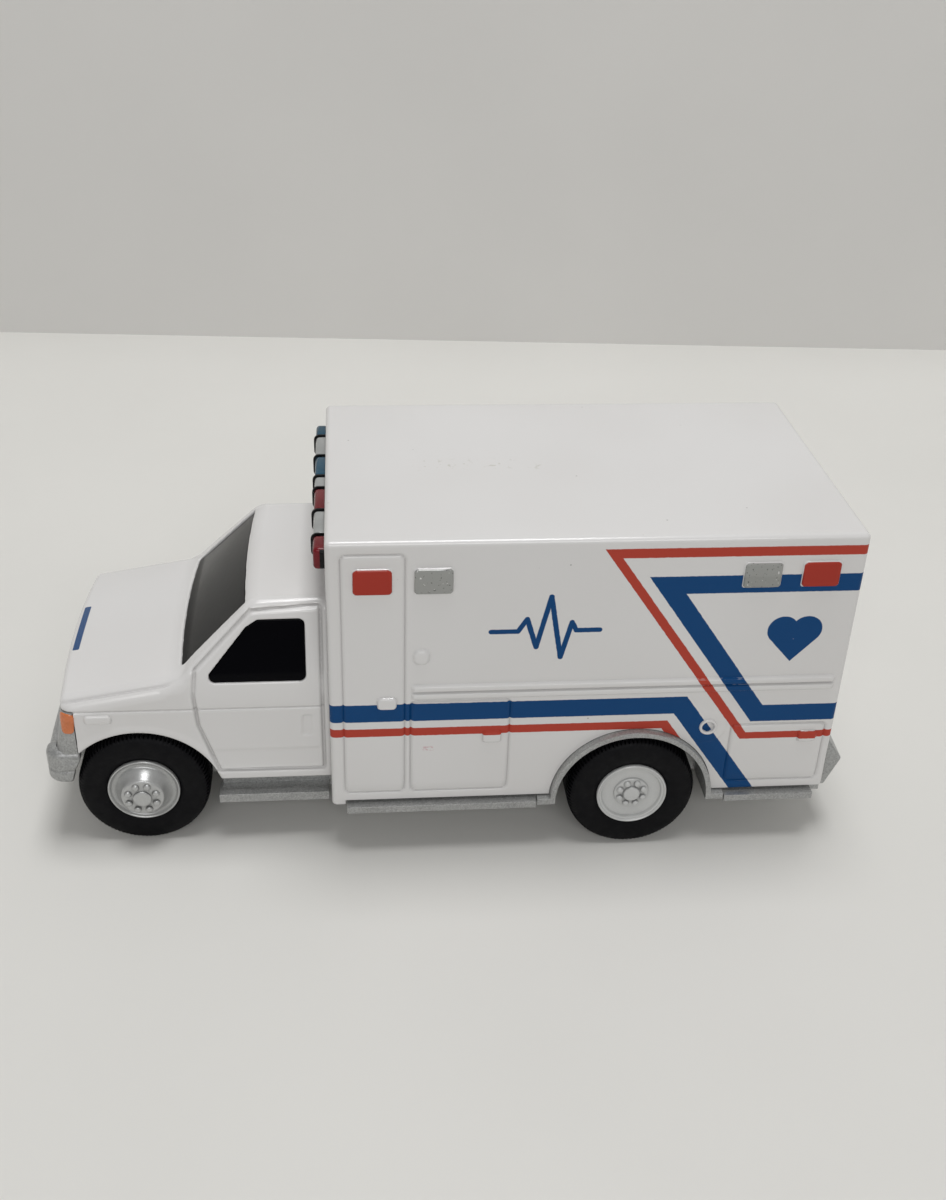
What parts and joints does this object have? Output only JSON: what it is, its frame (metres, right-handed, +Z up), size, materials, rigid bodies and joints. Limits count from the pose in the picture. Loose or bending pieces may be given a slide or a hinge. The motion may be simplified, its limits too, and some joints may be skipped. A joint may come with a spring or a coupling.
{
  "type": "toy ambulance",
  "caption": "Small toy ambulance: white van cab and square body on a silver base, dark glazing, a light bar, side stripes and rubber-tyred wheels on steel axles.",
  "frame": {"origin": "on the ground, midway between the two bumpers and the two sides", "axes": "+X towards the tail, +Y towards the vehicle's right side, +Z up"},
  "size_m": [0.1086, 0.045, 0.0476],
  "materials": {
    "white_plastic": "glossy white moulded plastic",
    "silver_plastic": "silver plastic with a fine metallic grain",
    "dark_glazing": "glossy near-black plastic",
    "black_plastic": "black plastic",
    "red_lamp": "dark red gloss",
    "clear_lamp": "pale grey gloss",
    "blue_lamp": "dark blue gloss",
    "steel": "drawn steel wire",
    "rim_silver": "silver painted plastic",
    "tyre_rubber": "matte black rubber",
    "screw_steel": "zinc-plated steel"
  },
  "bodies": {
    "body": {"chassis_base": "silver_plastic", "front_bumper": "silver_plastic", "rear_bumper": "silver_plastic", "grille_panel": "silver_plastic", "cab_shell": "white_plastic", "cab_glazing": "dark_glazing", "box_shell": "white_plastic", "left_wheel_arch": "silver_plastic", "right_wheel_arch": "silver_plastic", "light_bar_base": "black_plastic", "light_bar_red_lamps": "red_lamp", "light_bar_clear_lamps": "clear_lamp", "light_bar_blue_lamps": "blue_lamp", "base_screws": "screw_steel"},
    "front_wheels": {"front_axle": "steel", "front_left_rim": "rim_silver", "front_right_rim": "rim_silver", "front_left_tyre": "tyre_rubber", "front_right_tyre": "tyre_rubber"},
    "rear_wheels": {"rear_axle": "steel", "rear_left_rim": "rim_silver", "rear_right_rim": "rim_silver", "rear_left_tyre": "tyre_rubber", "rear_right_tyre": "tyre_rubber"}
  },
  "joints": [
    {"name": "front_wheels_roll", "type": "hinge", "parent": "body", "child": "front_wheels", "pos_m": [-0.0414, 0, 0.00875], "axis": [0, 1, 0], "continuous": true},
    {"name": "rear_wheels_roll", "type": "hinge", "parent": "body", "child": "rear_wheels", "pos_m": [0.0242, 0, 0.00875], "axis": [0, 1, 0], "continuous": true}
  ]
}
